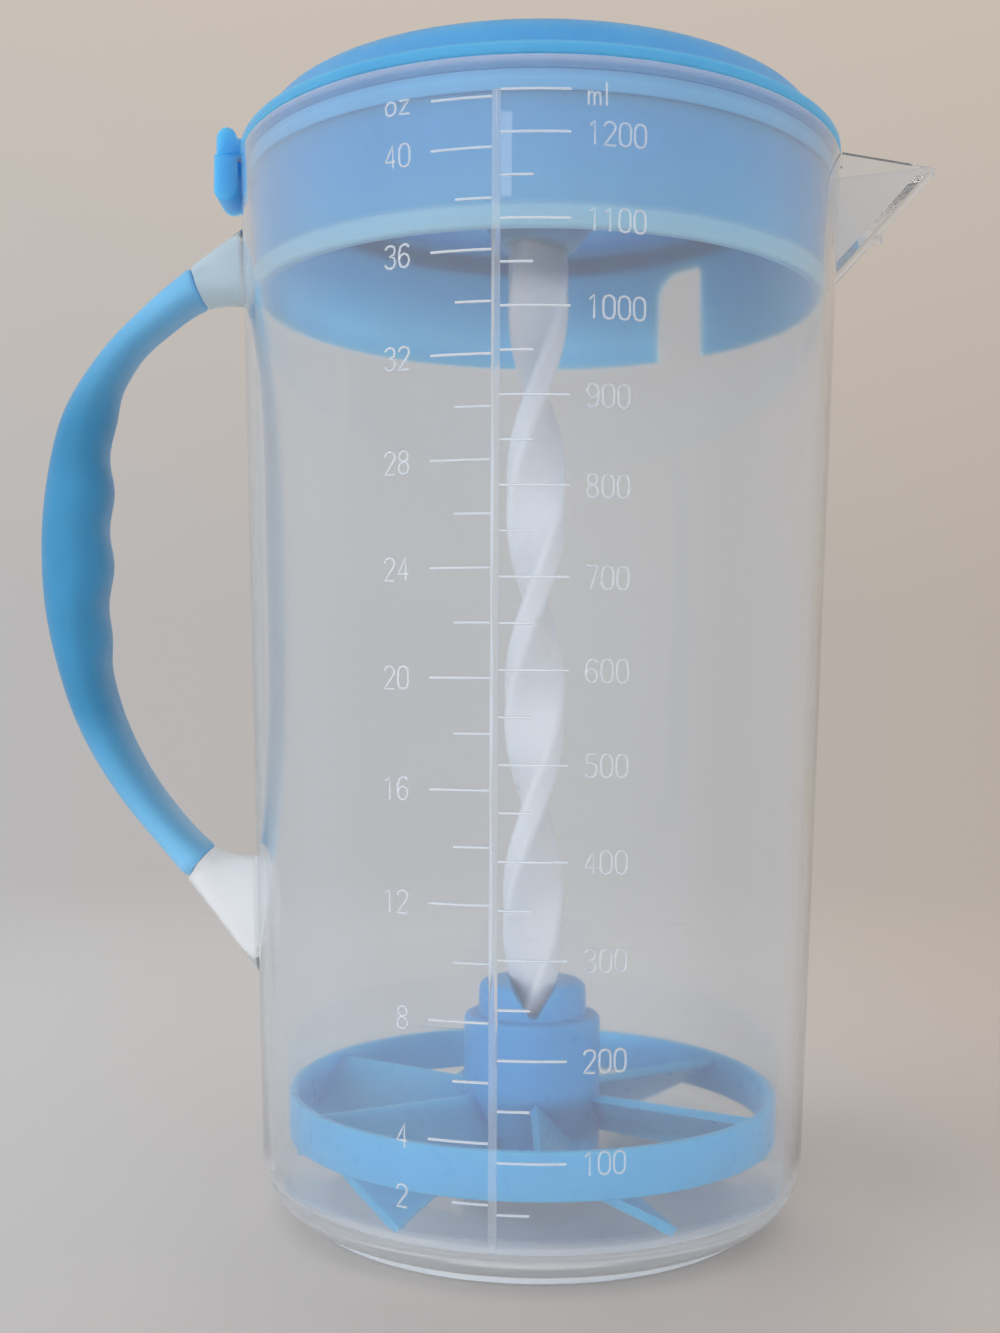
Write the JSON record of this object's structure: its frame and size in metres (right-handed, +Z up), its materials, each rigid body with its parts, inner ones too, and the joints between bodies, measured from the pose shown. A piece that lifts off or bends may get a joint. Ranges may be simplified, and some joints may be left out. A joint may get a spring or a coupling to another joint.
{
  "type": "formula mixing pitcher",
  "caption": "Clear graduated jug with a soft-grip handle, V spout, turning lid, and a pump plunger whose twisted rod spins a vaned mixing wheel.",
  "frame": {"origin": "on the surface that the jug stands on, under the middle of the whole object: halfway between the spout's tip and the handle's outermost point, in the plane of symmetry. The jug's own axis is at X 0.0081 m.", "axes": "+Z up, along the jug's axis, +X towards the pouring spout, the handle at -X"},
  "size_m": [0.1588, 0.1056, 0.201],
  "materials": {
    "clear_jug": "clear milky polypropylene",
    "soft_grip": "soft-touch satin",
    "lid_plastic": "moulded satin gloss",
    "silicone": "translucent pale blue silicone",
    "knob_plastic": "moulded satin gloss",
    "cap_plastic": "moulded satin",
    "screw_steel": "plain steel",
    "rod_plastic": "white satin",
    "wheel_plastic": "translucent moulded plastic"
  },
  "bodies": {
    "vessel": {"jug_body": "clear_jug", "handle_grip": "soft_grip"},
    "seal": {"lid_seal": "silicone"},
    "lid": {"lid": "lid_plastic"},
    "plunger": {"plunger_knob": "knob_plastic", "knob_cap": "cap_plastic"},
    "agitator": {"twist_rod": "rod_plastic", "mixer_wheel": "wheel_plastic", "knob_screw": "screw_steel"}
  },
  "joints": [
    {"name": "lid_lift", "type": "slide", "parent": "vessel", "child": "seal", "axis": [0, 0, 1], "range_m": [0, 0.19]},
    {"name": "lid_turn", "type": "hinge", "parent": "seal", "child": "lid", "pos_m": [0.0081, 0, 0.1821], "axis": [0, 0, 1], "range_deg": [-51.5, 0]},
    {"name": "plunger_pump", "type": "slide", "parent": "lid", "child": "plunger", "axis": [0, 0, 1], "range_m": [0, 0.129]},
    {"name": "rod_spin", "type": "hinge", "parent": "plunger", "child": "agitator", "pos_m": [0.0081, 0, 0.1858], "axis": [0, 0, 1], "range_deg": [0, 633]}
  ],
  "couplings": [
    {"joint": "rod_spin", "follows": "plunger_pump", "rad_per_m": 85.602}
  ]
}
